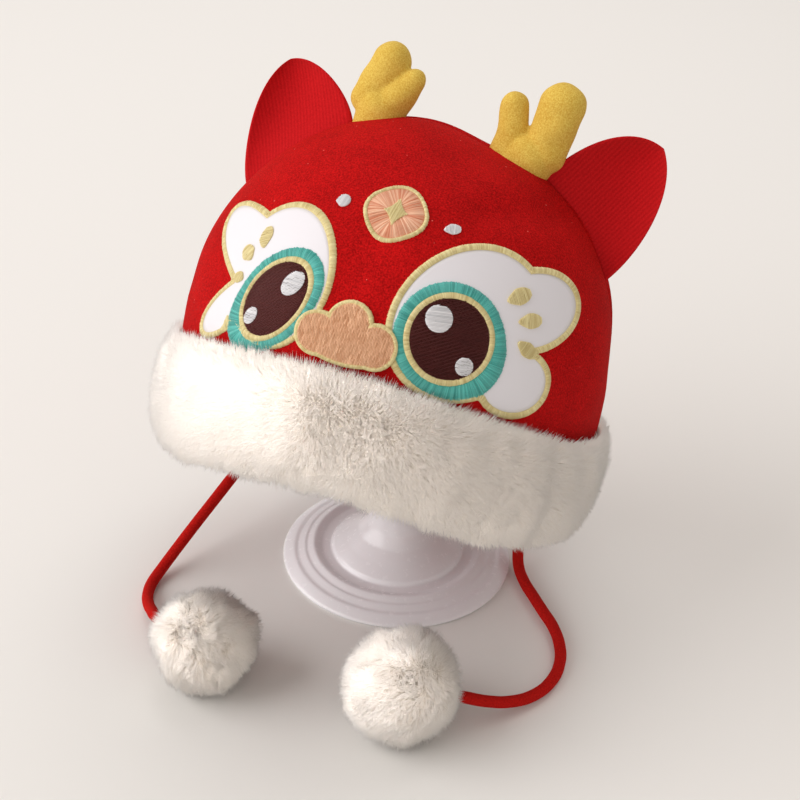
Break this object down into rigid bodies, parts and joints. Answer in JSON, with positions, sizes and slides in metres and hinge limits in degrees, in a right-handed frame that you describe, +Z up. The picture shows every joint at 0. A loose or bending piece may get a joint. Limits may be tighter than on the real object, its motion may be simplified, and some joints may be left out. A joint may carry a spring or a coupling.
{
  "type": "chinese new year dragon hat on display stand",
  "caption": "Child's brushed-cloth hat with a dragon face, ears, horns, a deep fur band and pompom ties, on a round display stand.",
  "frame": {"origin": "centre of the stand's flat underside, on the surface that it stands on", "axes": "+Z up, the face looks towards -Y, +X to the right as a viewer of the face sees it"},
  "size_m": [0.1962, 0.2042, 0.2269],
  "materials": {
    "red_velour": "brushed red velour cloth",
    "red_rib_knit": "fine red rib knit",
    "white_fur": "warm white plush fur",
    "yellow_velour": "stuffed yellow velour",
    "white_satin": "smooth white cloth and white satin stitch",
    "cream_thread": "pale yellow satin stitch",
    "teal_thread": "glossy teal satin stitch",
    "brown_thread": "dark brown fill stitch",
    "peach_thread": "peach fill stitch",
    "orange_thread": "soft orange satin stitch",
    "red_felt_cord": "felted red cord",
    "white_plastic": "glossy white plastic"
  },
  "bodies": {
    "root": {"crown_front": "red_velour", "crown_back": "red_velour", "fur_band": "white_fur", "ear_left": "red_rib_knit", "ear_right": "red_rib_knit", "horn_left": "yellow_velour", "horn_right": "yellow_velour", "eye_patch_left": "white_satin", "eye_patch_right": "white_satin", "patch_border_left": "cream_thread", "patch_border_right": "cream_thread", "eye_ring_left": "teal_thread", "eye_ring_right": "teal_thread", "ring_border_left": "cream_thread", "ring_border_right": "cream_thread", "iris_left": "brown_thread", "iris_right": "brown_thread", "highlight_large_left": "white_satin", "highlight_large_right": "white_satin", "highlight_small_left": "white_satin", "highlight_small_right": "white_satin", "drop_upper_left": "cream_thread", "drop_upper_right": "cream_thread", "drop_middle_left": "cream_thread", "drop_middle_right": "cream_thread", "drop_lower_left": "cream_thread", "drop_lower_right": "cream_thread", "nose": "peach_thread", "nose_border": "cream_thread", "coin": "orange_thread", "coin_border": "cream_thread", "coin_star": "cream_thread", "forehead_dot_left": "white_satin", "forehead_dot_right": "white_satin", "tie_left": "red_felt_cord", "tie_right": "red_felt_cord", "pompom_left": "white_fur", "pompom_right": "white_fur", "stand_base": "white_plastic", "stand_stem": "white_plastic", "stand_dome": "white_plastic"}
  },
  "joints": []
}
